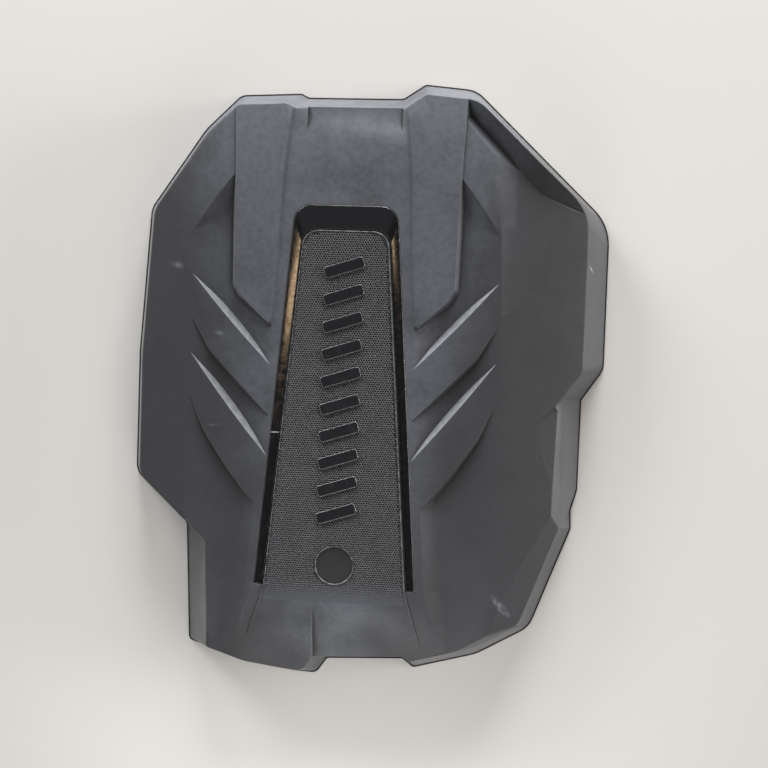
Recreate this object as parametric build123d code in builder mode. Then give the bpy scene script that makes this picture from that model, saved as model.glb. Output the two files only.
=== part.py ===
from build123d import *
from math import radians, tan
import os

os.makedirs("parts", exist_ok=True)

# Overall size: X across the cover, Y along its spine, Z out of its face, foam lip on Z = 0
cover_width = 430.0
cover_length = 546.0
crown_height = 64.0
half_width = cover_width / 2
half_length = cover_length / 2

# Shell wall, and the foam lip that the shell's rim stands on
wall = 3.0
lip_thickness = 2.5
lip_reach = 1.3

# Spine: its axis lies beside the middle of the rim, and its top is flat
spine_x = -17.3
spine_flat = 72.0
wing_radius = 480.0
wing_turn = 32.0

# The crown runs straight along Y between two bends, and its edge is rounded where it meets the skirt
bend_top = 160.0
bend_bottom = -185.0
top_radius = 740.0
bottom_radius = 212.0
top_turn = 17.5
bottom_turn = 35.0
edge_round = 2.5
steepest_top = 0.85
same_place = 0.01

# Draft of the skirt's sides, in degrees; above the brow some sides lean in further
brow_height = 42.0
end_draft = 17.0
corner_draft = 10.0
right_draft = 25.6
notch_right_draft = 20.4
waist_draft = 21.9
low_right_draft = 17.8
bottom_draft = 14.0
low_left_draft = 27.0
notch_draft = 14.0
left_draft = 17.0
waist_lean = 44.0
low_right_lean = 55.0
low_end_lean = 27.0

# Rim, clockwise from its upper left: X, Y, corner radius, draft of the next side below and above the brow
rim = [
    (-half_width + 89.0, half_length - 13.0, 12.0, end_draft, end_draft),
    (-half_width + 145.0, half_length - 10.5, 6.0, end_draft, end_draft),
    (-half_width + 152.0, half_length - 14.0, 6.0, end_draft, end_draft),
    (half_width - 191.0, half_length - 13.5, 10.0, end_draft, end_draft),
    (half_width - 171.0, half_length, 6.0, end_draft, end_draft),
    (half_width - 124.5, half_length - 4.3, 25.0, corner_draft, corner_draft),
    (half_width, half_length - 123.0, 45.0, right_draft, right_draft),
    (half_width, 19.0, 15.0, notch_right_draft, notch_right_draft),
    (half_width - 19.0, -9.5, 4.0, waist_draft, waist_lean),
    (half_width - 19.4, -115.4, 6.0, low_right_draft, low_right_lean),
    (half_width - 58.0, -half_length + 53.3, 24.0, end_draft, low_end_lean),
    (half_width - 105.4, -half_length + 26.1, 45.0, end_draft, end_draft),
    (half_width - 163.0, -half_length + 10.2, 5.0, bottom_draft, bottom_draft),
    (half_width - 173.0, -half_length + 18.0, 5.0, bottom_draft, bottom_draft),
    (-half_width + 187.0, -half_length + 14.4, 3.0, bottom_draft, bottom_draft),
    (-half_width + 177.0, -half_length, 8.0, bottom_draft, bottom_draft),
    (-half_width + 155.0, -half_length + 1.2, 60.0, bottom_draft, bottom_draft),
    (-half_width + 114.2, -half_length + 6.4, 60.0, bottom_draft, bottom_draft),
    (-half_width + 55.5, -half_length + 25.0, 5.0, low_left_draft, low_left_draft),
    (-half_width + 50.0, -138.5, 6.0, notch_draft, notch_draft),
    (-half_width + 0.5, -92.5, 18.0, left_draft, left_draft),
    (-half_width, 20.0, 120.0, left_draft, left_draft),
    (-half_width + 7.5, half_length - 119.0, 20.0, left_draft, left_draft),
    (-half_width + 56.7, half_length - 44.7, 60.0, left_draft, left_draft),
]

# Room above the crown and past the ends for the shapes that cut it
margin = 4.0
form_top = crown_height + margin
form_end = half_length + margin

# Scallop low in the rim's right side, which runs out at the brow: X, Y, corner radius, draft
scallop = [
    (half_width - 16.8, -82.4, 0.0, -10.3),
    (half_width - 24.5, -110.0, 8.0, -16.0),
    (half_width - 23.1, -137.0, 0.0, 0.0),
    (half_width + margin, -137.0, 0.0, 0.0),
    (half_width + margin, -82.4, 0.0, 0.0),
]

# Plateaus beside the upper spine, set back a little from the skirt: X from the spine, Y, corner radius, draft
plateau_rise = 1.8
rise_setback = 0.2
plateau_foot = crown_height - 20.0
plateau_draft = 22.0
plateau_soft_draft = 45.0
plateau = [
    (101.0, form_end, 0.0, plateau_draft),
    (97.5, 83.0, 10.0, plateau_draft),
    (91.5, 73.0, 10.0, plateau_draft),
    (63.0, 46.0, 2.0, plateau_soft_draft),
    (58.0, 100.0, 60.0, plateau_soft_draft),
    (52.0, form_end, 0.0, plateau_draft),
]

# Gill scoops, measured from the spine's axis: X, Y, corner radius, draft
scoop_base = crown_height - 2.0
crest_draft = -45.0
shade_draft = -25.0
slope_draft = -67.0
soft_draft = -65.0
fade_draft = -70.0
scoops = [
    [
        (90.0, 187.0, 0.0, fade_draft),
        (146.0, 129.0, 0.0, 0.0),
        (146.0, 99.0, 0.0, crest_draft),
        (64.7, 18.0, 0.0, soft_draft),
        (66.0, 58.0, 0.0, shade_draft),
        (88.0, 90.0, 0.0, shade_draft),
    ],
    [
        (146.0, 72.8, 0.0, shade_draft),
        (117.0, 24.0, 30.0, shade_draft),
        (92.0, -3.0, 30.0, shade_draft),
        (65.0, -31.0, 0.0, soft_draft),
        (65.0, -62.4, 0.0, crest_draft),
        (146.0, 30.8, 0.0, 0.0),
    ],
    [
        (146.0, 10.7, 0.0, shade_draft),
        (121.0, -46.0, 40.0, shade_draft),
        (98.0, -80.0, 40.0, shade_draft),
        (78.0, -105.5, 6.0, slope_draft),
        (84.0, -180.0, 60.0, slope_draft),
        (100.0, -form_end, 0.0, 0.0),
        (146.0, -form_end, 0.0, 0.0),
    ],
]

# Floor of the scoops: distance from the spine's axis, and depth below the crown's top
scoop_floor = [(63.0, 0.0), (80.0, 4.3), (98.0, 6.1), (112.0, 6.2), (125.0, 5.2), (136.0, 4.2), (148.0, 3.8)]
scoop_low = 1.0

# Groove round the middle panel, and the panel inside it, measured from the spine's axis: X, Y, radius
groove_floor = crown_height - 5.0
groove_draft = -12.0
panel_draft = 8.0
groove = [(45.5, 155.5, 16.0), (72.0, -181.0, 60.0), (104.0, -form_end, 0.0)]
panel = [(37.0, 133.0, 14.0), (62.5, -181.0, 60.0), (91.0, -form_end, 0.0)]

# Gloss frame in the groove
frame_end = -181.0
frame_gap = 0.3
frame_panel_gap = 1.0
frame_proud = 0.4
frame_lip = 1.4
frame_fall = 3.0
frame_bevel = 0.5
stake_width = 4.0
stake_gap = 0.15
stake_head_width = 7.0
stake_head = 1.5
stake_rows = [85.0, -20.0, -125.0]
stake_top = (25.0, 144.0)

# Raised bars and the round seat on the middle panel
bar_count = 10
bar_pitch = 24.0
bar_first = 101.0
bar_width = 36.0
bar_thickness = 10.0
bar_slant = 18.0
bar_rise = 1.6
bar_round = 2.5
seat_y = -161.0
seat_radius = 16.5
seat_depth = 1.2

# Step between the plateaus at the top, seen along X
step_foot = 230.0
step_drop = 6.8
step_slope = 24.0
step_fall = 3.0
step_left = -38.0
step_right = 46.0

# Ramp down to the notch at the bottom
ramp_start = -202.0
ramp_drop = 0.7
ramp_slope = 18.0
ramp_left = -18.0
ramp_right = 40.0
ramp_fade = 60.0
ramp_fade_slope = 9.0

# Channel behind the upper right corner: X, Y and Z along its valley, and its outer slope from upright
channel = [
    (80.0, 243.4, crown_height - 9.0, 68.0),
    (152.0, 170.3, crown_height - 13.8, 68.0),
    (176.0, 160.5, crown_height - 17.0, 73.0),
    (202.0, 150.0, crown_height - 21.5, 80.0),
]
channel_in = 57.0

# Corner that stands above the crown, outside the channel's valley
corner_rise = 7.0
corner_foot = crown_height - 25.0

# Lower part of the right wing beside the channel: X, Y, corner radius, draft, and three places on its floor
ridge_draft = -68.0
upper_fall = [
    (132.0, 190.6, 0.0, 0.0),
    (channel[1][0], channel[1][1], 0.0, 0.0),
    (channel[2][0], channel[2][1], 0.0, 0.0),
    (half_width, 140.0, 0.0, 0.0),
    (half_width, 66.0, 0.0, 0.0),
    (140.0, 66.0, 0.0, ridge_draft),
    (138.5, 139.0, 0.0, ridge_draft),
]
upper_fall_floor = [(132.0, 190.6, crown_height - 12.45), channel[1][:3], (130.0, 66.0, crown_height - 5.9)]

# Lower part of the right wing below its notch, in the same terms
notch_fall = [
    (153.7, -30.2, 0.0, crest_draft),
    (167.2, -11.7, 0.0, crest_draft),
    (half_width, -10.0, 0.0, 0.0),
    (half_width, -85.0, 0.0, 0.0),
    (170.5, -85.0, 0.0, 0.0),
]
notch_fall_floor = [
    (153.7, -30.2, crown_height - 10.3),
    (170.5, -85.0, crown_height - 14.2),
    (168.6, -13.1, crown_height - 14.9),
]
fall_low = crown_height - 24.0

# Stud bosses and rubber grommets
stud_spacing_x = 200.0
stud_spacing_y = 320.0
stud_y = 2.0
boss_radius = 13.0
boss_end = 16.0
bush_radius = 9.0
bush_gap = 0.1
bush_length = 18.0
bush_flange_radius = 12.5
bush_flange = 2.5
ball_radius = 5.3
neck_radius = 4.2
neck_length = 4.0

# Foam pad under the shell
pad_gap = 0.3
pad_wall = 8.0
pad_drop = 9.5
pad_thickness = 10.0
pad_hole_gap = 3.0


def moved_in(points, shifts):
    """Corners of an outline after each side has moved towards the inside."""
    ends = points[1:] + points[:1]
    area = sum(x0 * y1 - x1 * y0 for (x0, y0), (x1, y1) in zip(points, ends))
    turn = 1 if area > 0 else -1
    sides = []
    for (x0, y0), (x1, y1), shift in zip(points, ends, shifts):
        along = Vector(x1 - x0, y1 - y0).normalized()
        inside = Vector(-along.Y, along.X) * turn
        sides.append((Vector(x0, y0) + inside * shift, along))
    corners = []
    for (start, along), (other, across) in zip(sides[-1:] + sides[:-1], sides):
        gap = other - start
        reach = (gap.X * across.Y - gap.Y * across.X) / (along.X * across.Y - along.Y * across.X)
        corners.append(start + along * reach)
    return corners


def flat_section(outline, shifts, height):
    """Face at one height inside an outline whose sides have moved in."""
    points = [(x, y) for x, y, *_ in outline]
    rounds = [corner for _, _, corner, *_ in outline]
    with BuildSketch(Plane.XY.offset(height)) as section:
        with BuildLine():
            FilletPolyline(*moved_in(points, shifts), radius=rounds, close=True)
        make_face()
    return section.sketch


def level(outline, base, height, inward):
    """Flat section, at one height, of walls that pass through an outline at their base."""
    shifts = [inward + (height - base) * tan(radians(draft)) for _, _, _, draft in outline]
    return flat_section(outline, shifts, height)


def drafted(outline, base, low, high, inward=0.0):
    """Solid between two heights whose sides lean by their drafts."""
    with BuildPart() as form:
        loft([level(outline, base, height, inward) for height in (low, high)], ruled=True)
    return form.part


def on_wing(side, outline):
    """Outline given from the spine's axis, on the right wing (1) or the left (-1)."""
    return [(spine_x + side * x, y, corner, draft) for x, y, corner, draft in outline]


def on_spine(half, draft):
    """Symmetric outline about the spine, from its right half."""
    left = [(spine_x - x, y, corner, draft) for x, y, corner in reversed(half)]
    return [(spine_x + x, y, corner, draft) for x, y, corner in half] + left


def crown_section(y, drop):
    """Cross-section of the crown: a flat spine with an arc over each wing."""
    with BuildSketch(Plane.XZ.offset(-y)) as section:
        with BuildLine():
            centre = crown_height - wing_radius
            radius = wing_radius - drop
            right = CenterArc((spine_x + spine_flat, centre), radius, 90 - wing_turn, wing_turn)
            left = CenterArc((spine_x - spine_flat, centre), radius, 90, wing_turn)
            Line(right @ 1, left @ 0)
            Polyline(left @ 1, ((left @ 1).X, -form_top), ((right @ 0).X, -form_top), right @ 0)
        make_face()
    return section.sketch


def crown(drop):
    """Everything under the crown, which bends down at both ends."""
    with BuildPart() as form:
        extrude(crown_section(bend_top, drop), amount=bend_top - bend_bottom, dir=(0, -1, 0))
        revolve(
            crown_section(bend_top, drop),
            axis=Axis((0, bend_top, crown_height - top_radius), (-1, 0, 0)),
            revolution_arc=top_turn,
        )
        revolve(
            crown_section(bend_bottom, drop),
            axis=Axis((0, bend_bottom, crown_height - bottom_radius), (1, 0, 0)),
            revolution_arc=bottom_turn,
        )
    return form.part


def skirt_level(height, inward):
    """Flat section of the skirt at one height."""
    brow = brow_height - inward
    below = min(height, brow) - lip_thickness
    above = max(height - brow, 0.0)
    leans = [below * tan(radians(draft)) + above * tan(radians(lean)) for *_, draft, lean in rim]
    return flat_section(rim, [lip_reach + inward + lean for lean in leans], height)


def skirt(inward, low, high=form_top):
    """Everything inside the drafted side walls, less the scallop."""
    with BuildPart() as form:
        loft([skirt_level(height, inward) for height in (low, brow_height - inward, high)], ruled=True)
        add(drafted(scallop, lip_thickness, low, high, -lip_reach - inward), mode=Mode.SUBTRACT)
    return form.part


def raised_plateau(side, inward):
    """Flat-topped plateau beside the upper spine."""
    with BuildPart() as form:
        add(drafted(on_wing(side, plateau), crown_height, plateau_foot, form_top, inward))
        add(crown(inward - plateau_rise), mode=Mode.INTERSECT)
        add(skirt(inward + rise_setback, 0), mode=Mode.INTERSECT)
    return form.part


def raised_corner(inward):
    """Rise of the upper right corner, whose inner slope is the channel's."""
    valley = [(x, y) for x, y, *_ in channel]
    with BuildPart() as form:
        with BuildSketch(Plane.XY.offset(corner_foot)):
            with BuildLine():
                Polyline(*valley, (valley[-1][0], form_end), (valley[0][0], form_end), close=True)
            make_face()
        extrude(amount=form_top - corner_foot)
        add(crown(inward - corner_rise), mode=Mode.INTERSECT)
        add(skirt(inward + rise_setback, 0), mode=Mode.INTERSECT)
    return form.part


def scoop_cut(side, outline, inward):
    """Gill scoop: a hollow that starts at the spine and runs out softly on the wing."""
    floor = [(spine_x + side * x, crown_height - depth - inward) for x, depth in scoop_floor]
    low = min(z for _, z in floor) - scoop_low
    with BuildPart() as cut:
        add(drafted(on_wing(side, outline), scoop_base - inward, low, form_top, -inward))
        with BuildSketch(Plane.XZ.offset(-form_end)):
            with BuildLine():
                Spline(*floor)
                Polyline(floor[-1], (floor[-1][0], form_top), (floor[0][0], form_top), floor[0])
            make_face()
        extrude(amount=2 * form_end, mode=Mode.INTERSECT)
    return cut.part


def groove_cut(inward):
    """Groove round the middle panel."""
    with BuildPart() as cut:
        add(drafted(on_spine(groove, groove_draft), crown_height, groove_floor - inward, form_top, -inward))
        add(
            drafted(on_spine(panel, panel_draft), crown_height, groove_floor - inward, form_top, inward),
            mode=Mode.SUBTRACT,
        )
    return cut.part


def side_cut(left, right, points):
    """Cut with the same side view all the way between two places beside the spine's axis."""
    with BuildPart() as cut:
        with BuildSketch(Plane.YZ.offset(spine_x + left)):
            with BuildLine():
                Polyline(*points, close=True)
            make_face()
        extrude(amount=right - left)
    return cut.part


def step_cut(inward):
    """Step down to the rim between the plateaus."""
    foot = crown_height - step_drop - inward
    run = (form_top - foot) / tan(radians(step_slope))
    end = (form_end, foot - step_fall)
    points = [(step_foot - run, form_top), (step_foot, foot), end, (form_end, form_top)]
    return side_cut(step_left - inward, step_right + inward, points)


def ramp_cut(inward):
    """Ramp down to the notch at the bottom, which fades out to the right."""
    top = crown_height - ramp_drop - inward
    rise = (form_top - top) / tan(radians(ramp_slope))
    fall = (ramp_start + form_end) * tan(radians(ramp_slope))
    points = [(ramp_start + rise, form_top), (-form_end, top - fall), (-form_end, form_top)]
    downhill = Vector(0, -1, -tan(radians(ramp_slope)))
    sideways = Vector(1, 0, tan(radians(ramp_fade_slope)))
    corner = (spine_x + ramp_right + inward, ramp_start, top)
    with BuildPart() as cut:
        add(side_cut(ramp_left - inward, ramp_right + ramp_fade, points))
        split(bisect_by=Plane(corner, x_dir=sideways, z_dir=downhill.cross(sideways)), keep=Keep.TOP)
    return cut.part


def channel_cut(inward):
    """Channel with a long outer slope and a short inner one, along the upper right corner."""
    with BuildPart() as cut:
        for x, y, z, slope in channel:
            valley = z - inward
            out = (form_top - valley) * tan(radians(slope))
            back = (form_top - valley) * tan(radians(channel_in))
            with BuildSketch(Plane.YZ.offset(x)):
                with BuildLine():
                    Polyline((y, valley), (y + out, form_top), (y - back, form_top), close=True)
                make_face()
        loft(ruled=True)
    return cut.part


def fall_cut(outline, floor, inward):
    """Tilted plane, with drafted sides, that lowers part of a wing."""
    corner, first, second = (Vector(*place) for place in floor)
    upward = (first - corner).cross(second - corner)
    base = corner.Z - inward
    with BuildPart() as cut:
        add(drafted(outline, base, fall_low - inward, form_top, -inward))
        split(
            bisect_by=Plane(origin=corner - Vector(0, 0, inward), z_dir=upward),
            keep=Keep.TOP if upward.Z > 0 else Keep.BOTTOM,
        )
    return cut.part


def styled_form(inward, low):
    """The cover's solid form, moved in by a wall."""
    with BuildPart() as form:
        add(skirt(inward, low))
        add(crown(inward), mode=Mode.INTERSECT)
        if inward == 0:
            tops = form.faces().filter_by(lambda face: face.normal_at(face.center()).Z > steepest_top)
            seams = [edge.center() for face in tops for edge in face.edges()]
            brow = [
                edge
                for edge in tops.edges()
                if sum((edge.center() - place).length < same_place for place in seams) == 1
            ]
            fillet(brow, edge_round)
        add(raised_corner(inward))
        add([scoop_cut(side, outline, inward) for side in (1, -1) for outline in scoops], mode=Mode.SUBTRACT)
        add(channel_cut(inward), mode=Mode.SUBTRACT)
        add(fall_cut(upper_fall, upper_fall_floor, inward), mode=Mode.SUBTRACT)
        add(fall_cut(notch_fall, notch_fall_floor, inward), mode=Mode.SUBTRACT)
        for side in (1, -1):
            add(raised_plateau(side, inward))
        add([step_cut(inward), ramp_cut(inward), groove_cut(inward)], mode=Mode.SUBTRACT)
    return form.part


def stake_places():
    """Where the frame's stakes pass through the shell: along both legs and the top bar."""
    places = [(spine_x + side * stake_top[0], stake_top[1]) for side in (1, -1)]
    for y in stake_rows:
        for side in (1, -1):
            share = (groove[0][1] - y) / (groove[0][1] - groove[1][1])
            outer = groove[0][0] + share * (groove[1][0] - groove[0][0])
            share = (panel[0][1] - y) / (panel[0][1] - panel[1][1])
            inner = panel[0][0] + share * (panel[1][0] - panel[0][0])
            places.append((spine_x + side * (outer + inner) / 2, y))
    return places


def stud_plane(height):
    """Plane across the four studs."""
    return Plane((spine_x, stud_y, height))


# Hollow under the shell, with the four bosses left standing in it
with BuildPart() as hollow:
    add(styled_form(wall, 0.0))
    with BuildSketch(stud_plane(boss_end)):
        with GridLocations(stud_spacing_x, stud_spacing_y, 2, 2):
            Circle(boss_radius)
    extrude(amount=form_top, mode=Mode.SUBTRACT)

# Moulded shell
with BuildPart() as cover_shell:
    add(styled_form(0.0, lip_thickness))
    add(hollow.part, mode=Mode.SUBTRACT)
    with BuildSketch(Plane((spine_x, 0, crown_height))):
        with Locations(*[(0, bar_first - bar_pitch * row) for row in range(bar_count)]):
            RectangleRounded(bar_width, bar_thickness, bar_round, rotation=bar_slant)
    extrude(amount=bar_rise)
    with BuildSketch(Plane((spine_x, seat_y, crown_height))):
        Circle(seat_radius)
    extrude(amount=-seat_depth, mode=Mode.SUBTRACT)
    with BuildSketch(Plane.XY.offset(groove_floor)):
        with Locations(*stake_places()):
            Rectangle(stake_width + 2 * stake_gap, stake_width + 2 * stake_gap)
    extrude(amount=-2 * wall, mode=Mode.SUBTRACT)
    with BuildSketch(stud_plane(boss_end)):
        with GridLocations(stud_spacing_x, stud_spacing_y, 2, 2):
            Circle(bush_radius + bush_gap)
    extrude(amount=bush_length + bush_gap, mode=Mode.SUBTRACT)
cover_shell.part.label = "cover_shell"
export_step(cover_shell.part, "parts/cover_shell.step")

# Gloss frame: its top falls from the outer lip to the middle panel
with BuildPart() as gloss_frame:
    frame_top = crown_height + frame_proud
    outer = on_spine(groove, groove_draft)
    inner = on_spine(panel, panel_draft)
    foot = level(outer, crown_height, groove_floor, frame_gap)
    edge = level(outer, crown_height, frame_top - frame_bevel, frame_gap)
    rim_top = level(outer, crown_height, frame_top, frame_gap + frame_bevel)
    loft([foot, edge, rim_top], ruled=True)
    dish_top = level(outer, crown_height, frame_top, frame_gap + frame_lip)
    dish_foot = level(inner, crown_height, frame_top - frame_fall, -frame_panel_gap)
    loft([dish_foot, dish_top], ruled=True, mode=Mode.SUBTRACT)
    add(drafted(inner, crown_height, groove_floor, form_top, -frame_panel_gap), mode=Mode.SUBTRACT)
    split(bisect_by=Plane.XZ.offset(-frame_end), keep=Keep.BOTTOM)
    with BuildSketch(Plane.XY.offset(groove_floor)):
        with Locations(*stake_places()):
            Rectangle(stake_width, stake_width)
    extrude(amount=-wall)
    with BuildSketch(Plane.XY.offset(groove_floor - wall)):
        with Locations(*stake_places()):
            Rectangle(stake_head_width, stake_head_width)
    extrude(amount=-stake_head)
gloss_frame.part.label = "gloss_frame"
export_step(gloss_frame.part, "parts/gloss_frame.step")

# Hollow under the foam pad
pad_roof = crown_height - wall - pad_drop
with BuildPart() as pad_hollow:
    add(skirt(wall + pad_gap + pad_wall, -margin, pad_roof))
    add(crown(wall + pad_drop + pad_thickness), mode=Mode.INTERSECT)

# Foam pad: a tray under the shell, with a lip under the shell's rim and a hole round each boss
with BuildPart() as acoustic_pad:
    add(skirt(wall + pad_gap, 0.0, crown_height))
    add(crown(wall + pad_drop), mode=Mode.INTERSECT)
    extrude(flat_section(rim, [0.0] * len(rim), 0.0), amount=lip_thickness)
    extrude(flat_section(scallop, [0.0] * len(scallop), 0.0), amount=lip_thickness, mode=Mode.SUBTRACT)
    add(pad_hollow.part, mode=Mode.SUBTRACT)
    with BuildSketch(stud_plane(0.0)):
        with GridLocations(stud_spacing_x, stud_spacing_y, 2, 2):
            Circle(boss_radius + pad_hole_gap)
    extrude(amount=form_top, mode=Mode.SUBTRACT)
acoustic_pad.part.label = "acoustic_pad"
export_step(acoustic_pad.part, "parts/acoustic_pad.step")

# Rubber grommets: a flange under the boss, a neck and a round seat for the stud's ball
for row, along in (("upper", 1), ("lower", -1)):
    for column, across in (("left", -1), ("right", 1)):
        x = spine_x + across * stud_spacing_x / 2
        y = stud_y + along * stud_spacing_y / 2
        mouth = boss_end - bush_flange
        neck_end = mouth + neck_length
        ball = neck_end + (ball_radius**2 - neck_radius**2) ** 0.5
        bush_top = boss_end + bush_length
        with BuildPart() as grommet:
            with BuildSketch(Plane((x, y, 0), x_dir=(1, 0, 0), z_dir=(0, -1, 0))):
                with BuildLine():
                    ball_top = (0, ball + ball_radius)
                    socket = ThreePointArc(ball_top, (ball_radius, ball), (neck_radius, neck_end))
                    Polyline(
                        socket @ 1,
                        (neck_radius, mouth),
                        (bush_flange_radius, mouth),
                        (bush_flange_radius, boss_end),
                        (bush_radius, boss_end),
                        (bush_radius, bush_top),
                        (0, bush_top),
                        socket @ 0,
                    )
                make_face()
            revolve(axis=Axis((x, y, 0), (0, 0, 1)))
        name = f"grommet_{row}_{column}"
        grommet.part.label = name
        export_step(grommet.part, f"parts/{name}.step")
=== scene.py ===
import math
import bmesh
import bpy
from mathutils import Matrix, Vector


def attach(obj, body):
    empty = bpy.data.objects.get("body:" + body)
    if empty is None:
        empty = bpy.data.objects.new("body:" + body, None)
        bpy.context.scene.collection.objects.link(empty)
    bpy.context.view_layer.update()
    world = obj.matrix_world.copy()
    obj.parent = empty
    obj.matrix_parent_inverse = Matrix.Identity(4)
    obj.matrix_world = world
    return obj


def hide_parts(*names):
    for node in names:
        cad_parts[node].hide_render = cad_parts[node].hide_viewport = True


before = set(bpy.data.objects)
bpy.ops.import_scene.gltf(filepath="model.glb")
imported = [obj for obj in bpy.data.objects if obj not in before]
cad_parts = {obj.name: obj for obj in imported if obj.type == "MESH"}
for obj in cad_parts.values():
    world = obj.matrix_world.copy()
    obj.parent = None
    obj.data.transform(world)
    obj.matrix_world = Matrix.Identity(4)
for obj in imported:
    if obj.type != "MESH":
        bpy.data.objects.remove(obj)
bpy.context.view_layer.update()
mm = 0.001
scene = bpy.context.scene
smooth = {"interpolation_type": "SMOOTHSTEP"}
print("frame loaded:", ", ".join(sorted(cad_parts)))

# Sizes of the cover that the finish follows, in millimetres
cover = {
    "crownHeight": 64.0,
    "spineX": -17.3,
    "bendBottom": -185.0,  # the crown bends down below this
    "bottomRadius": 212.0,
}


def linear(hexColour):  # sRGB hex to linear RGBA
    channels = [int(hexColour[i:i + 2], 16) / 255 for i in (1, 3, 5)]
    return tuple(c / 12.92 if c <= 0.04045 else ((c + 0.055) / 1.055) ** 2.4 for c in channels) + (1.0,)


def addNode(tree, kind, settings=None, values=None, links=None):
    node = tree.nodes.new(kind)
    for name, value in (settings or {}).items():
        setattr(node, name, value)
    for socket, value in (values or {}).items():
        node.inputs[socket].default_value = value
    for socket, source in (links or {}).items():
        tree.links.new(source, node.inputs[socket])
    return node


def newMaterial(name, values):
    material = bpy.data.materials.new(name)
    material.use_nodes = True
    tree = material.node_tree
    shader = tree.nodes["Principled BSDF"]
    for socket, value in values.items():
        shader.inputs[socket].default_value = value
    place = addNode(tree, "ShaderNodeTexCoord").outputs["Object"]
    return material, tree, shader, place


def layeredColour(tree, look, layers):  # each layer covers the ones before it where its mask is 1
    colour = None
    for layer, mask in layers:
        mixed = addNode(
            tree,
            "ShaderNodeMix",
            settings={"data_type": "RGBA"},
            values={6: linear(look["base"]), 7: linear(look[layer])},
            links={0: mask},
        )
        if colour is not None:
            tree.links.new(colour, mixed.inputs[6])
        colour = mixed.outputs[2]
    return colour


# Glass-filled nylon, injection moulded in a spark-eroded tool: a matt grain that spreads highlights wide,
# with a painted sheen along the spine and painted shade in its inner corners, on its downward walls and on
# the engraved panel's ground; rubbed pale where hands wear it, and painted pale where edges and faces catch
# the light
nylonLook = {
    "base": "#353639",
    # painted sheen: the nylon drawn lighter along the spine
    "spineSheen": "#585b62",
    "dirt": "#252527",
    # painted shade, laid into the inner corners
    "cornerShade": "#0b0b0c",
    # painted shade on the panel's ground, showing at the foot of the dimples
    "shadedGround": "#17181a",
    "pale": "#b4b7bb",
    "shader": {"IOR": 1.53, "Sheen Weight": 0.15, "Sheen Roughness": 0.45},  # the sheen is fine dust
    "patterns": {  # size in millimetres, detail
        "cloud": (48.0, 5.0),
        "speck": (5.0, 6.0),
        "grain": (1.1, 3.0),  # the real grain is nearer 0.3 mm, drawn coarser so that it shows
    },
    "spineSheenMm": (70.0, 150.0),  # full up to the first distance from the spine, gone at the second
    "spineSheenSpread": 0.25,
    "spineSheenDrift": 0.05,
    "dirtRange": {"From Min": 0.4, "From Max": 0.7, "To Max": 0.38},
    "mottleRange": {"From Min": 0.35, "From Max": 0.7, "To Max": 0.22},
    "cornerMm": 14.0,
    "cornerSamples": 8,
    "cornerRange": {"From Min": 0.96, "From Max": 0.7, "To Max": 0.95},
    "crestMm": 1.3,
    "edgeWearAndLight": 0.2,
    "wearWhenRubbed": 0.5,  # added where hands rub the face
    "edgeWearAndLightOnPanel": 0.6,
    # pale all over the face: wear, and a painted highlight where it faces the light
    "rubbedLitAllOver": 0.3,
    "brokenRange": {"From Min": 0.4, "From Max": 0.62},
    "roughRange": {"From Min": 0.3, "From Max": 0.7, "To Min": 0.48, "To Max": 0.6},
    "softEdgeMm": 0.8,
    "softEdgeSamples": 6,
    "bump": {"Strength": 0.3, "Distance": 0.12 * mm},
}

# Edges of the middle panel that the painted shade on its ground follows, measured from the spine's axis
panelEdge = {
    "halfTop": 37.0,
    "top": 133.0,
    "margin": 1.0,
    "taper": 0.0812,
    "fadeStart": -172.0,
    "fadeEnd": -196.0,
}

# Scuffs in the nylon: middle X and Y, half length, half width, turn, strength
scuffs = [
    (129.6, -191.0, 15.0, 4.0, -50.0, 0.3),
    (-168.6, 98.8, 8.0, 4.5, -7.0, 0.2),
    (-127.2, 40.2, 6.0, 3.0, -14.0, 0.16),
    (-129.5, -41.4, 9.0, 1.2, 7.0, 0.2),
    (198.0, 107.8, 5.0, 1.4, -54.0, 0.4),
    (-153.1, -127.9, 3.0, 1.6, 20.0, 0.3),
]

# Crack across the left leg of the polished frame, listed in the same way
cracks = [
    (-73.5, -45.6, 6.5, 0.9, 0.0, 0.7),
    (-68.6, -42.6, 3.6, 0.9, 80.0, 0.7),
]
scuffShape = {"middleHeight": 0.7, "gain": 1.6}  # the height is a share of the crown's

# Worn outer edges, painted pale also as the highlight they catch, as the share of a short view from within
# the piece that stays open
crestLook = {"samples": 12, "range": {"From Min": 0.93, "From Max": 0.6}}


def scuffMask(tree, place, spots):  # long thin spots
    total = None
    for x, y, along, across, turn, strength in spots:
        spot = addNode(
            tree,
            "ShaderNodeMapping",
            settings={"vector_type": "TEXTURE"},
            values={
                "Location": (x * mm, y * mm, cover["crownHeight"] * scuffShape["middleHeight"] * mm),
                "Rotation": (0.0, 0.0, math.radians(turn)),
                "Scale": (along * mm, across * mm, cover["crownHeight"] * mm),
            },
            links={"Vector": place},
        )
        ball = addNode(
            tree,
            "ShaderNodeTexGradient",
            settings={"gradient_type": "SPHERICAL"},
            links={"Vector": spot.outputs["Vector"]},
        )
        mark = addNode(
            tree,
            "ShaderNodeMath",
            settings={"operation": "MULTIPLY"},
            values={1: scuffShape["gain"] * strength},
            links={0: ball.outputs["Fac"]},
        ).outputs[0]
        if total is not None:
            mark = addNode(
                tree, "ShaderNodeMath", settings={"operation": "MAXIMUM"}, links={0: mark, 1: total}
            ).outputs[0]
        total = mark
    return total


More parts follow.
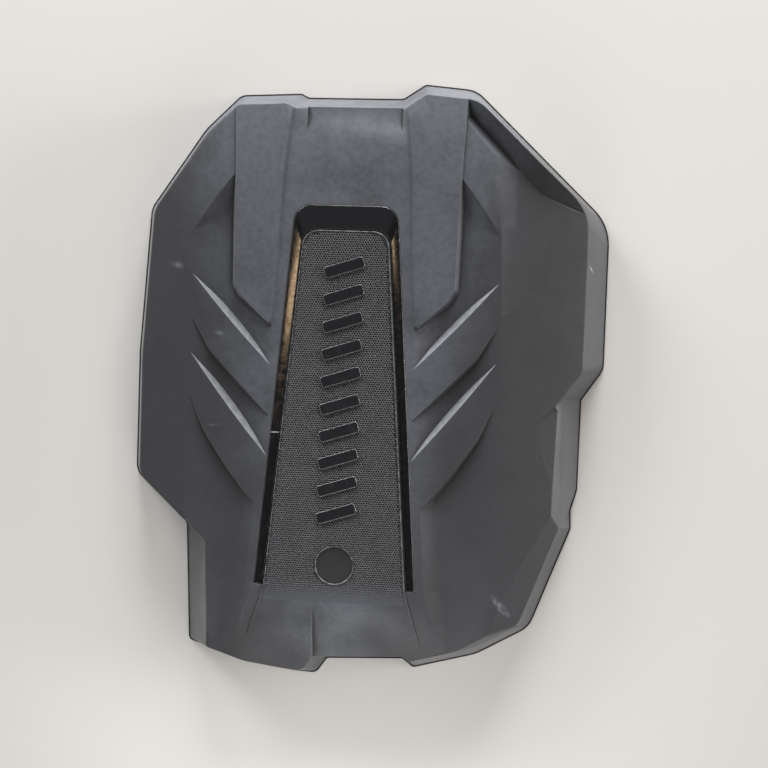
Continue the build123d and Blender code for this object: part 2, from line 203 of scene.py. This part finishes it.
def edgeWearAndHighlight(tree, reachMm):  # a view from within is blocked only beside an outer edge
    inside = addNode(
        tree,
        "ShaderNodeAmbientOcclusion",
        settings={"inside": True, "only_local": True, "samples": crestLook["samples"]},
        values={"Distance": reachMm * mm},
    ).outputs["AO"]
    return addNode(
        tree, "ShaderNodeMapRange", settings=smooth, values=crestLook["range"], links={"Value": inside}
    )


def panelFade(tree, along):  # 1 on the upper panel, 0 below its end
    return addNode(
        tree,
        "ShaderNodeMapRange",
        settings=smooth,
        values={"From Min": panelEdge["fadeEnd"] * mm, "From Max": panelEdge["fadeStart"] * mm},
        links={"Value": along},
    ).outputs["Result"]


def panelMask(tree, away, along):  # 1 on the middle panel, fading out towards the bottom
    halfAtMiddle = panelEdge["halfTop"] + panelEdge["taper"] * panelEdge["top"]
    half = addNode(
        tree,
        "ShaderNodeMath",
        settings={"operation": "MULTIPLY_ADD"},
        values={1: -panelEdge["taper"], 2: halfAtMiddle * mm},
        links={0: along},
    ).outputs[0]
    within = addNode(
        tree, "ShaderNodeMath", settings={"operation": "LESS_THAN"}, links={0: away, 1: half}
    ).outputs[0]
    below = addNode(
        tree,
        "ShaderNodeMath",
        settings={"operation": "LESS_THAN"},
        values={1: (panelEdge["top"] + panelEdge["margin"]) * mm},
        links={0: along},
    ).outputs[0]
    both = addNode(
        tree, "ShaderNodeMath", settings={"operation": "MULTIPLY"}, links={0: within, 1: below}
    ).outputs[0]
    return addNode(
        tree, "ShaderNodeMath", settings={"operation": "MULTIPLY"}, links={0: both, 1: panelFade(tree, along)}
    ).outputs[0]


def makeNylon(name, rubAndLight, shadeAllOver):  # how pale the face is worn and painted with light, and how dark it is painted with shade, all over
    look = nylonLook
    material, tree, shader, place = newMaterial(name, look["shader"])
    noises = {}
    for pattern, (sizeMm, detail) in look["patterns"].items():
        noises[pattern] = addNode(
            tree,
            "ShaderNodeTexNoise",
            values={"Scale": 1 / (sizeMm * mm), "Detail": detail},
            links={"Vector": place},
        ).outputs["Fac"]
    axes = addNode(tree, "ShaderNodeSeparateXYZ", links={"Vector": place}).outputs
    offset = addNode(
        tree,
        "ShaderNodeMath",
        settings={"operation": "SUBTRACT"},
        values={1: cover["spineX"] * mm},
        links={0: axes["X"]},
    ).outputs[0]
    away = addNode(tree, "ShaderNodeMath", settings={"operation": "ABSOLUTE"}, links={0: offset}).outputs[0]
    leaning = addNode(  # the painted sheen spreads wider towards the top
        tree,
        "ShaderNodeMath",
        settings={"operation": "MULTIPLY_ADD"},
        values={1: -look["spineSheenSpread"]},
        links={0: axes["Y"], 2: away},
    ).outputs[0]
    drifted = addNode(  # and its edge wanders with the clouds
        tree,
        "ShaderNodeMath",
        settings={"operation": "MULTIPLY_ADD"},
        values={1: look["spineSheenDrift"]},
        links={0: noises["cloud"], 2: leaning},
    ).outputs[0]
    sheenFrom, sheenTo = look["spineSheenMm"]
    # painted sheen, full near the spine and gone out on the wings
    spineSheen = addNode(
        tree,
        "ShaderNodeMapRange",
        settings=smooth,
        values={"From Min": sheenFrom * mm, "From Max": sheenTo * mm, "To Min": 1.0, "To Max": 0.0},
        links={"Value": drifted},
    ).outputs["Result"]
    dirt = addNode(
        tree,
        "ShaderNodeMapRange",
        settings=smooth,
        values=look["dirtRange"],
        links={"Value": noises["cloud"]},
    ).outputs["Result"]
    mottle = addNode(
        tree,
        "ShaderNodeMapRange",
        settings=smooth,
        values=look["mottleRange"],
        links={"Value": noises["speck"]},
    ).outputs["Result"]
    stained = addNode(
        tree, "ShaderNodeMath", settings={"operation": "ADD"}, links={0: dirt, 1: mottle}
    ).outputs[0]
    hollow = addNode(
        tree,
        "ShaderNodeAmbientOcclusion",
        settings={"only_local": True, "samples": look["cornerSamples"]},
        values={"Distance": look["cornerMm"] * mm},
    ).outputs["AO"]
    cornerShade = addNode(  # painted shade in the inner corners
        tree,
        "ShaderNodeMapRange",
        settings=smooth,
        values={**look["cornerRange"], "To Min": shadeAllOver},
        links={"Value": hollow},
    ).outputs["Result"]
    # the panel's ground is darkened with painted shade
    panel = panelMask(tree, away, axes["Y"])
    edgeWearAndLight = look["edgeWearAndLight"] + look["wearWhenRubbed"] * rubAndLight
    crestShare = addNode(
        tree,
        "ShaderNodeMapRange",
        values={"To Min": edgeWearAndLight, "To Max": look["edgeWearAndLightOnPanel"]},
        links={"Value": panel},
    ).outputs["Result"]
    # pale outer edges: wear, and a painted highlight where they catch the light
    crest = edgeWearAndHighlight(tree, look["crestMm"])
    tree.links.new(crestShare, crest.inputs["To Max"])
    scuffed = addNode(
        tree,
        "ShaderNodeMath",
        settings={"operation": "MAXIMUM"},
        links={0: crest.outputs["Result"], 1: scuffMask(tree, place, scuffs)},
    ).outputs[0]
    rubbedLit = addNode(
        tree,
        "ShaderNodeMath",
        settings={"operation": "MAXIMUM"},
        values={1: look["rubbedLitAllOver"] * rubAndLight},
        links={0: scuffed},
    ).outputs[0]
    broken = addNode(
        tree,
        "ShaderNodeMapRange",
        settings=smooth,
        values={**look["brokenRange"], "To Min": edgeWearAndLight},
        links={"Value": noises["speck"]},
    ).outputs["Result"]
    worn = addNode(
        tree,
        "ShaderNodeMath",
        settings={"operation": "MULTIPLY", "use_clamp": True},
        links={0: rubbedLit, 1: broken},
    ).outputs[0]
    layers = (("spineSheen", spineSheen), ("dirt", stained), ("cornerShade", cornerShade), ("shadedGround", panel), ("pale", worn))
    colour = layeredColour(tree, look, layers)
    roughness = addNode(
        tree, "ShaderNodeMapRange", values=look["roughRange"], links={"Value": noises["cloud"]}
    ).outputs["Result"]
    softened = addNode(
        tree,
        "ShaderNodeBevel",
        settings={"samples": look["softEdgeSamples"]},
        values={"Radius": look["softEdgeMm"] * mm},
    ).outputs["Normal"]
    bump = addNode(
        tree, "ShaderNodeBump", values=look["bump"], links={"Height": noises["grain"], "Normal": softened}
    ).outputs["Normal"]
    for socket, source in (("Base Color", colour), ("Roughness", roughness), ("Normal", bump)):
        tree.links.new(source, shader.inputs[socket])
    return material


# The same nylon on the middle panel, moulded in a finely engraved tool: each dimple darkened towards its foot
# with painted shade, and paler ribs
netLook = {
    # painted shade at the dimples' foot
    "foot": "#070708",
    "crest": "#56575b",
    "end": "#4b4d53",  # as the nylon below the panel shows
    "shader": {"Roughness": 0.5, "IOR": 1.53},
    "dustMm": 14.0,
    "dustDetail": 5.0,
    "dustRange": {"From Min": 0.3, "From Max": 0.7, "To Min": 0.65},
    "riseRange": {"From Min": 0.5},
}


def makeNetNylon():
    material, tree, shader, place = newMaterial("engravedNylon", netLook["shader"])
    rise = addNode(tree, "ShaderNodeAttribute", settings={"attribute_name": "rise"}).outputs["Fac"]
    dust = addNode(
        tree,
        "ShaderNodeTexNoise",
        values={"Scale": 1 / (netLook["dustMm"] * mm), "Detail": netLook["dustDetail"]},
        links={"Vector": place},
    ).outputs["Fac"]
    height = addNode(
        tree, "ShaderNodeMapRange", settings=smooth, values=netLook["riseRange"], links={"Value": rise}
    ).outputs["Result"]
    share = addNode(
        tree, "ShaderNodeMapRange", values=netLook["dustRange"], links={"Value": dust}
    ).outputs["Result"]
    shown = addNode(
        tree, "ShaderNodeMath", settings={"operation": "MULTIPLY"}, links={0: height, 1: share}
    ).outputs[0]
    # painted shade from the rib down to the dimple's foot
    engraved = addNode(
        tree,
        "ShaderNodeMix",
        settings={"data_type": "RGBA"},
        values={6: linear(netLook["foot"]), 7: linear(netLook["crest"])},
        links={0: shown},
    ).outputs[2]
    along = addNode(tree, "ShaderNodeSeparateXYZ", links={"Vector": place}).outputs["Y"]
    colour = addNode(  # the ribs and the nylon below them end in one colour
        tree,
        "ShaderNodeMix",
        settings={"data_type": "RGBA"},
        values={6: linear(netLook["end"])},
        links={0: panelFade(tree, along), 7: engraved},
    ).outputs[2]
    tree.links.new(colour, shader.inputs["Base Color"])
    return material


# Polished black ABS: a mirror-smooth skin with a little dust on it, pale at a crack, and along its edges both
# worn and painted with a highlight
glossLook = {
    "base": "#0b0b0c",
    "dust": "#2c2c2d",
    "pale": "#c4c6c8",
    "shader": {"IOR": 1.54},
    "dustMm": 7.0,
    "dustNoise": {"Detail": 8.0, "Roughness": 0.65},
    "dustRange": {"From Min": 0.5, "From Max": 0.8, "To Max": 0.6},
    "crestMm": 0.9,
    "edgeWearAndLight": 0.35,
    "roughRange": {"From Min": 0.4, "From Max": 0.8, "To Min": 0.08, "To Max": 0.3},
    "softEdgeMm": 1.6,
    "softEdgeSamples": 6,
}


def makeGlossBlack():
    look = glossLook
    material, tree, shader, place = newMaterial("polishedBlackAbs", look["shader"])
    dust = addNode(
        tree,
        "ShaderNodeTexNoise",
        values={"Scale": 1 / (look["dustMm"] * mm), **look["dustNoise"]},
        links={"Vector": place},
    ).outputs["Fac"]
    film = addNode(
        tree, "ShaderNodeMapRange", settings=smooth, values=look["dustRange"], links={"Value": dust}
    ).outputs["Result"]
    # painted highlight along the outer edges, with some wear
    crest = edgeWearAndHighlight(tree, look["crestMm"])
    crest.inputs["To Max"].default_value = look["edgeWearAndLight"]
    layers = (("dust", film), ("pale", scuffMask(tree, place, cracks)), ("pale", crest.outputs["Result"]))
    colour = layeredColour(tree, look, layers)
    roughness = addNode(
        tree, "ShaderNodeMapRange", values=look["roughRange"], links={"Value": dust}
    ).outputs["Result"]
    softened = addNode(
        tree,
        "ShaderNodeBevel",
        settings={"samples": look["softEdgeSamples"]},
        values={"Radius": look["softEdgeMm"] * mm},
    ).outputs["Normal"]
    for socket, source in (("Base Color", colour), ("Roughness", roughness), ("Normal", softened)):
        tree.links.new(source, shader.inputs[socket])
    return material


# Open-cell polyurethane foam: soot black, no sheen, pitted
foamLook = {
    "base": "#19191a",
    "worn": "#2b2b2c",
    "shader": {"Roughness": 0.95},
    "cellMm": 1.6,
    "patchMm": 30.0,
    "patchDetail": 5.0,
    "bump": {"Strength": 0.7, "Distance": 0.6 * mm},
}


def makeFoam():
    material, tree, shader, place = newMaterial("openCellFoam", foamLook["shader"])
    cells = addNode(
        tree, "ShaderNodeTexVoronoi", values={"Scale": 1 / (foamLook["cellMm"] * mm)}, links={"Vector": place}
    ).outputs["Distance"]
    patch = addNode(
        tree,
        "ShaderNodeTexNoise",
        values={"Scale": 1 / (foamLook["patchMm"] * mm), "Detail": foamLook["patchDetail"]},
        links={"Vector": place},
    ).outputs["Fac"]
    colour = layeredColour(tree, foamLook, [("worn", patch)])
    bump = addNode(
        tree, "ShaderNodeBump", values=foamLook["bump"], links={"Height": cells}
    ).outputs["Normal"]
    tree.links.new(colour, shader.inputs["Base Color"])
    tree.links.new(bump, shader.inputs["Normal"])
    return material


# Moulded EPDM rubber: matt black with a faint grey bloom
rubberLook = {
    "base": "#141414",
    "bloom": "#262626",
    "shader": {"Roughness": 0.65},
    "bloomMm": 6.0,
    "bloomDetail": 3.0,
}


def makeRubber():
    material, tree, shader, place = newMaterial("mouldedEpdm", rubberLook["shader"])
    bloom = addNode(
        tree,
        "ShaderNodeTexNoise",
        values={"Scale": 1 / (rubberLook["bloomMm"] * mm), "Detail": rubberLook["bloomDetail"]},
        links={"Vector": place},
    ).outputs["Fac"]
    colour = layeredColour(tree, rubberLook, [("bloom", bloom)])
    tree.links.new(colour, shader.inputs["Base Color"])
    return material


nylon = makeNylon("mouldedNylon", rubAndLight=0.0, shadeAllOver=0.0)
# a copy of the nylon worn and painted paler all over, partly as a painted highlight
rubbedLitNylon = makeNylon("rubbedLitNylon", rubAndLight=1.0, shadeAllOver=0.0)
# a copy of the nylon darkened all over with painted shade
shadedNylon = makeNylon("shadedNylon", rubAndLight=0.0, shadeAllOver=0.55)
netNylon = makeNetNylon()
glossBlack = makeGlossBlack()
foam = makeFoam()
rubber = makeRubber()
print("materials made")

# Distances at which corners merge and thin slivers go, in metres
weld = {"merge": 2e-6, "thin": 1e-6, "onPlane": 1e-7}


def linkPiece(name, mesh):
    piece = bpy.data.objects.new(name, mesh)
    scene.collection.objects.link(piece)
    return piece


def appliedMesh(piece, name):  # the piece's modifiers become a plain mesh
    graph = bpy.context.evaluated_depsgraph_get()
    mesh = bpy.data.meshes.new_from_object(piece.evaluated_get(graph), depsgraph=graph)
    mesh.name = name
    return mesh


def mergeCorners(work):
    bmesh.ops.remove_doubles(work, verts=work.verts, dist=weld["merge"])
    bmesh.ops.dissolve_degenerate(work, edges=work.edges, dist=weld["thin"])


def smoothCopy(node, name, sharpDeg, reshape=None, isSoft=None):  # merged copy of a CAD node with crisp edges
    mesh = bpy.data.meshes.new(name)
    work = bmesh.new()
    work.from_mesh(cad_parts[node].data)
    mergeCorners(work)
    if reshape:
        reshape(work)
    work.to_mesh(mesh)
    work.free()
    for layer in ("custom_normal", "sharp_edge", "sharp_face"):
        if layer in mesh.attributes:
            mesh.attributes.remove(mesh.attributes[layer])
    mesh.materials.clear()
    mesh.shade_smooth()
    mesh.set_sharp_from_angle(angle=math.radians(sharpDeg))
    for edge in mesh.edges:
        if isSoft and edge.use_edge_sharp:
            ends = [mesh.vertices[index].co for index in edge.vertices]
            edge.use_edge_sharp = not isSoft((ends[0] + ends[1]) / 2 / mm)
    draft = linkPiece(name + "Draft", mesh)
    weighted = draft.modifiers.new("weighted", "WEIGHTED_NORMAL")
    weighted.keep_sharp = True
    finished = appliedMesh(draft, name)
    bpy.data.objects.remove(draft)
    return linkPiece(name, finished)


# Groove round the panel, and the soft folds outside it; shares run from 0 at the wing to 1 at the panel
groove = {
    "floor": 59.0,
    "floorShare": (0.0, 1.15),
    "frameEnd": -181.0,
    "halfEnd": 72.0,
    "side": 0.0788,  # spread for each millimetre, beside the frame
    "foot": 0.3333,  # and below its end
    "width": 10.5,
    "cuts": (-181.25, -181.5, -190.0, -200.0, -210.0, -220.0),
    "runOut": -229.0,
    "wingDrop": 0.04,
    "edgeDrop": 1.1,
    "wallFoot": 0.107,  # share at the outer wall's foot
    "wallDraft": 0.0215,  # share that the wall leans out for each millimetre of height
    "wallShare": (-0.06, 0.16),
    "brinkShare": (-0.045, 0.085),
    "brinkDrop": 0.4,
    "brinkOff": 0.004,
    "bendEnd": -187.5,
    "rowGap": 0.1,  # the first row of cuts stays as it is
    "levelGap": 0.02,  # slack on the floor's height
    "softWidth": 3.5,
    "softDrop": 1.0,
    "foldFrom": 4.0,
    "foldTo": 22.0,
    "foldLow": 46.0,
}


def grooveHalf(y):  # half width of the groove, straight beside the frame and spreading below its end
    side = groove["side"] if y > groove["frameEnd"] else groove["foot"]
    return groove["halfEnd"] + side * (groove["frameEnd"] - y)


def panelHeight(y):
    below = max(cover["bendBottom"] - y, 0.0)
    return cover["crownHeight"] - below ** 2 / (2 * cover["bottomRadius"])


def isBetween(value, limits):
    return limits[0] < value < limits[1]


def fadeGroove(work):  # below the frame the groove fades into the wing and only the panel's edge is left
    for y in groove["cuts"]:
        bmesh.ops.bisect_plane(
            work,
            geom=work.verts[:] + work.edges[:] + work.faces[:],
            plane_co=(0, y * mm, 0),
            plane_no=(0, 1, 0),
            dist=weld["onPlane"],
        )
    faded = (groove["runOut"], groove["cuts"][0] - groove["rowGap"])
    floor, wall, brink = [], [], []
    for vert in work.verts:
        x, y, z = (value / mm for value in vert.co)
        if not isBetween(y, faded) or z < groove["floor"] - groove["levelGap"]:
            continue
        share = (grooveHalf(y) - abs(x - cover["spineX"])) / groove["width"]
        isHigh = z > panelHeight(y) - groove["brinkDrop"]
        offWall = share - groove["wallFoot"] + groove["wallDraft"] * (z - groove["floor"])
        isEdge = y > groove["bendEnd"] or abs(offWall) < groove["brinkOff"]
        if isHigh and isEdge and isBetween(share, groove["brinkShare"]):
            brink.append((y, x > 0, vert.co.copy()))
        elif not isHigh and isBetween(share, groove["wallShare"]):
            wall.append((y, x > 0, vert))
        elif z < groove["floor"] + groove["levelGap"] and isBetween(share, groove["floorShare"]):
            floor.append((share, vert))
    for share, vert in floor:
        height = panelHeight(vert.co.y / mm) - groove["wingDrop"] - groove["edgeDrop"] * share
        vert.co.z = height * mm
    for y, onRight, vert in wall:  # the wall closes up to the wing's edge
        tops = [(abs(topY - y), top.x, top) for topY, topRight, top in brink if topRight == onRight]
        vert.co = min(tops)[2]
    mergeCorners(work)


def isSoftFold(place):  # between the spine and a plateau, and where the groove has faded into the wing
    out = abs(place.x - cover["spineX"]) - grooveHalf(place.y)
    if place.y < groove["cuts"][1]:
        return abs(out) < groove["softWidth"] and place.z > panelHeight(place.y) - groove["softDrop"]
    isBeside = groove["foldFrom"] < out < groove["foldTo"]
    return isBeside and place.y > groove["foldLow"] and place.z > groove["floor"]


# Moulded shell with its polished bars; the scoop walls that face the light are rubbed and painted paler, and
# those that face down are painted with shade
shell = {
    "sharpDeg": 22.0,
    "barReach": 24.0,
    "barLift": 0.05,
    "barEnd": 150.0,
    "walls": {  # distance from the spine, place along it, Y and Z of the face's normal
        # walls that face the light, rubbed and painted paler as a painted highlight
        "rubbedLit": ((62.0, 137.0), (-70.0, 93.0), (0.3, 1.0), (0.62, 0.8)),
        # walls that face down, darkened all over with painted shade
        "shaded": ((62.0, 140.0), (-130.0, 93.0), (-1.0, -0.2), (0.2, 0.93)),
    },
}
finishes = {"plain": nylon, "polished": glossBlack, "rubbedLit": rubbedLitNylon, "shaded": shadedNylon}


def finishOf(face):
    x, y, z = (value / mm for value in face.center)
    beside = abs(x - cover["spineX"])
    isRaised = z > cover["crownHeight"] + shell["barLift"]
    if isRaised and beside < shell["barReach"] and abs(y) < shell["barEnd"]:
        return "polished"
    for finish, limits in shell["walls"].items():
        if all(map(isBetween, (beside, y, face.normal.y, face.normal.z), limits)):
            return finish
    return "plain"


coverSkin = smoothCopy("cover_shell", "cover_skin", shell["sharpDeg"], fadeGroove, isSoftFold)
for material in finishes.values():
    coverSkin.data.materials.append(material)
for face in coverSkin.data.polygons:
    face.material_index = list(finishes).index(finishOf(face))
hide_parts("cover_shell")
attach(coverSkin, "root")
print("shell finished:", len(coverSkin.data.polygons), "faces")

# Texture of the middle panel: rows of small six-sided dimples between thin ribs,
# fading out towards the bottom; sizes in millimetres
net = {
    "pitch": 2.2,
    "sides": 6,
    "turnDeg": 30.0,
    "ribHeight": 0.45,
    "lowest": 0.02,  # share of the height that the last ribs keep
    "holeShare": 0.55,
    "edge": 1.8,
    "top": 131.0,
    "across": 140.0,
    "cornerRadius": 12.0,
    "barFirst": 101.0,
    "barPitch": 24.0,
    "barCount": 10,
    "barHalfWidth": 17.6,  # the net runs up to the bars
    "barHalfThickness": 4.6,
    "barSlantDeg": 18.0,
    "seatY": -161.0,
    "seatRadius": 18.2,
}


def netFade(y):
    share = (y - panelEdge["fadeEnd"]) / (panelEdge["fadeStart"] - panelEdge["fadeEnd"])
    share = min(max(share, 0.0), 1.0)
    return share * share * (3 - 2 * share)


def onOpenPanel(across, y):  # true where no bar, seat or edge is in the way
    half = panelEdge["halfTop"] + panelEdge["taper"] * (panelEdge["top"] - y) - net["edge"]
    if abs(across) > half or y > net["top"] or y < panelEdge["fadeEnd"]:
        return False
    cornerX = abs(across) - (half - net["cornerRadius"])
    cornerY = y - (net["top"] - net["cornerRadius"])
    if cornerX > 0 and cornerY > 0 and math.hypot(cornerX, cornerY) > net["cornerRadius"]:
        return False
    if math.hypot(across, y - net["seatY"]) < net["seatRadius"]:
        return False
    row = round((net["barFirst"] - y) / net["barPitch"])
    row = min(max(row, 0), net["barCount"] - 1)
    away = y - (net["barFirst"] - net["barPitch"] * row)
    slant = math.radians(net["barSlantDeg"])
    along = across * math.cos(slant) + away * math.sin(slant)
    beside = away * math.cos(slant) - across * math.sin(slant)
    return abs(along) > net["barHalfWidth"] or abs(beside) > net["barHalfThickness"]


def dimpleTree():
    tree = bpy.data.node_groups.new("panelDimples", "GeometryNodeTree")
    tree.interface.new_socket("Geometry", in_out="INPUT", socket_type="NodeSocketGeometry")
    for name in ("Cell Radius", "Hole Radius", "Rib Height"):
        tree.interface.new_socket(name, in_out="INPUT", socket_type="NodeSocketFloat")
    tree.interface.new_socket("Material", in_out="INPUT", socket_type="NodeSocketMaterial")
    tree.interface.new_socket("Geometry", in_out="OUTPUT", socket_type="NodeSocketGeometry")
    source = addNode(tree, "NodeGroupInput").outputs
    cell = addNode(
        tree,
        "GeometryNodeMeshCone",
        settings={"fill_type": "NONE"},
        values={"Vertices": net["sides"]},
        links={
            "Radius Top": source["Cell Radius"],
            "Radius Bottom": source["Hole Radius"],
            "Depth": source["Rib Height"],
        },
    )
    inside = addNode(tree, "GeometryNodeFlipFaces", links={"Mesh": cell.outputs["Mesh"]})
    position = addNode(tree, "GeometryNodeInputPosition")
    height = addNode(tree, "ShaderNodeSeparateXYZ", links={"Vector": position.outputs["Position"]})
    rise = addNode(  # 0 at the dimple's foot, 1 on the rib
        tree,
        "ShaderNodeMath",
        settings={"operation": "DIVIDE"},
        links={0: height.outputs["Z"], 1: source["Rib Height"]},
    )
    marked = addNode(
        tree,
        "GeometryNodeStoreNamedAttribute",
        settings={"data_type": "FLOAT", "domain": "POINT"},
        values={"Name": "rise"},
        links={"Geometry": inside.outputs["Mesh"], "Value": rise.outputs[0]},
    )
    fade = addNode(
        tree, "GeometryNodeInputNamedAttribute", settings={"data_type": "FLOAT"}, values={"Name": "fade"}
    )
    scale = addNode(
        tree, "ShaderNodeCombineXYZ", values={"X": 1.0, "Y": 1.0}, links={"Z": fade.outputs["Attribute"]}
    )
    spread = addNode(
        tree,
        "GeometryNodeInstanceOnPoints",
        values={"Rotation": (0.0, 0.0, math.radians(net["turnDeg"]))},
        links={
            "Points": source["Geometry"],
            "Instance": marked.outputs["Geometry"],
            "Scale": scale.outputs["Vector"],
        },
    )
    real = addNode(tree, "GeometryNodeRealizeInstances", links={"Geometry": spread.outputs["Instances"]})
    dressed = addNode(
        tree,
        "GeometryNodeSetMaterial",
        links={"Geometry": real.outputs["Geometry"], "Material": source["Material"]},
    )
    addNode(tree, "NodeGroupOutput", links={"Geometry": dressed.outputs["Geometry"]})
    return tree


def makeNet():
    places = []
    rowStep = net["pitch"] * math.sqrt(3) / 2
    rows = int((net["top"] - panelEdge["fadeEnd"]) / rowStep)
    columns = int(net["across"] / net["pitch"])
    for row in range(rows):
        y = net["top"] - rowStep * row
        for column in range(-columns // 2, columns // 2 + 1):
            across = net["pitch"] * (column + 0.5 * (row % 2))
            if onOpenPanel(across, y):
                places.append((across, y))
    mesh = bpy.data.meshes.new("panelPoints")
    mesh.from_pydata(
        [Vector((cover["spineX"] + across, y, panelHeight(y))) * mm for across, y in places], [], []
    )
    fade = mesh.attributes.new("fade", "FLOAT", "POINT")
    fade.data.foreach_set("value", [max(netFade(y), net["lowest"]) for _, y in places])
    points = linkPiece("panelPoints", mesh)
    modifier = points.modifiers.new("dimples", "NODES")
    modifier.node_group = dimpleTree()
    cellRadius = net["pitch"] / math.sqrt(3) * mm
    sizes = {
        "Cell Radius": cellRadius,
        "Hole Radius": cellRadius * net["holeShare"],
        "Rib Height": net["ribHeight"] * mm,
        "Material": netNylon,
    }
    for item in modifier.node_group.interface.items_tree:
        if item.in_out == "INPUT" and item.name in sizes:
            modifier[item.identifier] = sizes[item.name]
    finished = appliedMesh(points, "panel_texture")
    bpy.data.objects.remove(points)
    return linkPiece("panel_texture", finished)


panelTexture = makeNet()
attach(panelTexture, "root")
print("panel texture finished:", len(panelTexture.data.polygons), "faces")

# Gloss frame, foam and rubber keep their CAD shapes
glossFrame = {"sharpDeg": 30.0}
frameSkin = smoothCopy("gloss_frame", "frame_skin", glossFrame["sharpDeg"])
frameSkin.data.materials.append(glossBlack)
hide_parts("gloss_frame")
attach(frameSkin, "root")
for name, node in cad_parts.items():
    dressing = foam if name == "acoustic_pad" else rubber
    for slot in node.material_slots:
        slot.material = dressing
print("frame, foam and rubber dressed")

# Camera at the photograph's angle: nearly straight above, leaning to the right and to the top
view = {
    "leanRightDeg": 5.0,
    "leanTopDeg": 2.0,
    "rollDeg": 2.1,
    "aim": (19.7, 0.1, 50.0),
    "distance": 1150.0,
    "focalPx": 1300.0,
    "framePx": 768.0,
    "sensorMm": 36.0,
}


def makeCamera():
    lean, top, roll = (math.radians(view[name]) for name in ("leanRightDeg", "leanTopDeg", "rollDeg"))
    back = Vector((math.sin(lean) * math.cos(top), math.sin(top), math.cos(lean) * math.cos(top)))
    right = Vector((0, 1, 0)).cross(back).normalized()
    up = back.cross(right)
    turnedRight = math.cos(roll) * right + math.sin(roll) * up
    turnedUp = math.cos(roll) * up - math.sin(roll) * right
    camera = bpy.data.objects.new("camera", bpy.data.cameras.new("camera"))
    camera.matrix_world = Matrix((turnedRight, turnedUp, back)).transposed().to_4x4()
    camera.location = (Vector(view["aim"]) + view["distance"] * back) * mm
    camera.data.sensor_width = view["sensorMm"]
    camera.data.lens = view["sensorMm"] * view["focalPx"] / view["framePx"]
    scene.collection.objects.link(camera)
    scene.camera = camera


# Soft studio light: three wide low lamps, the strongest past the top end, in a dim even room, and small cards
# that fill the lower end and show in the polished frame; places and sizes in metres, power in watts
lamps = {
    "topLamp": {"place": (0.4, 4.2, 1.15), "size": 2.4, "power": 310.0, "colour": "#fbfcff"},
    "rightLamp": {"place": (4.2, 0.4, 0.62), "size": 2.0, "power": 160.0, "colour": "#ffffff"},
    "leftLamp": {"place": (-2.6, 3.3, 1.15), "size": 2.0, "power": 160.0, "colour": "#ffffff"},
    "bottomCard": {"place": (0.0, -0.47, 0.32), "size": 0.4, "power": 1.05, "colour": "#ffffff"},
    "highCard": {"place": (-0.2, -0.15, 2.1), "size": 1.1, "power": 0.7, "colour": "#f2f5ff"},
    "rightCard": {"place": (1.11, 0.05, 1.68), "size": 0.26, "power": 2.4, "colour": "#e8c49a"},
    "leftCard": {"place": (-1.47, 0.17, 1.39), "size": 0.12, "power": 0.5, "colour": "#e8c49a"},
}
room = {
    "colour": "#e9ebf0",
    "strength": 0.17,
    "floor": "#dddad5",
    "floorRoughness": 0.8,
    "reach": 4.0,
    "clearance": 0.0003,
}


def makeStage():
    for name, lamp in lamps.items():
        light = bpy.data.lights.new(name, "AREA")
        light.shape = "DISK"
        light.size = lamp["size"]
        light.energy = lamp["power"]
        light.color = linear(lamp["colour"])[:3]
        stand = bpy.data.objects.new(name, light)
        stand.location = lamp["place"]
        stand.visible_camera = False
        stand.rotation_euler = (-Vector(lamp["place"])).to_track_quat("-Z", "Y").to_euler()
        scene.collection.objects.link(stand)
    world = bpy.data.worlds.new("room")
    world.use_nodes = True
    sky = world.node_tree.nodes["Background"]
    sky.inputs["Color"].default_value = linear(room["colour"])
    sky.inputs["Strength"].default_value = room["strength"]
    scene.world = world
    mesh = bpy.data.meshes.new("floor")
    reach = room["reach"]
    corners = [(-reach, -reach), (reach, -reach), (reach, reach), (-reach, reach)]
    mesh.from_pydata([(x, y, -room["clearance"]) for x, y in corners], [], [(0, 1, 2, 3)])
    floorValues = {"Base Color": linear(room["floor"]), "Roughness": room["floorRoughness"]}
    mesh.materials.append(newMaterial("paleFloor", floorValues)[0])
    linkPiece("floor", mesh)


makeCamera()
makeStage()
scene.view_settings.view_transform = "Standard"
print("camera, lights and floor set")
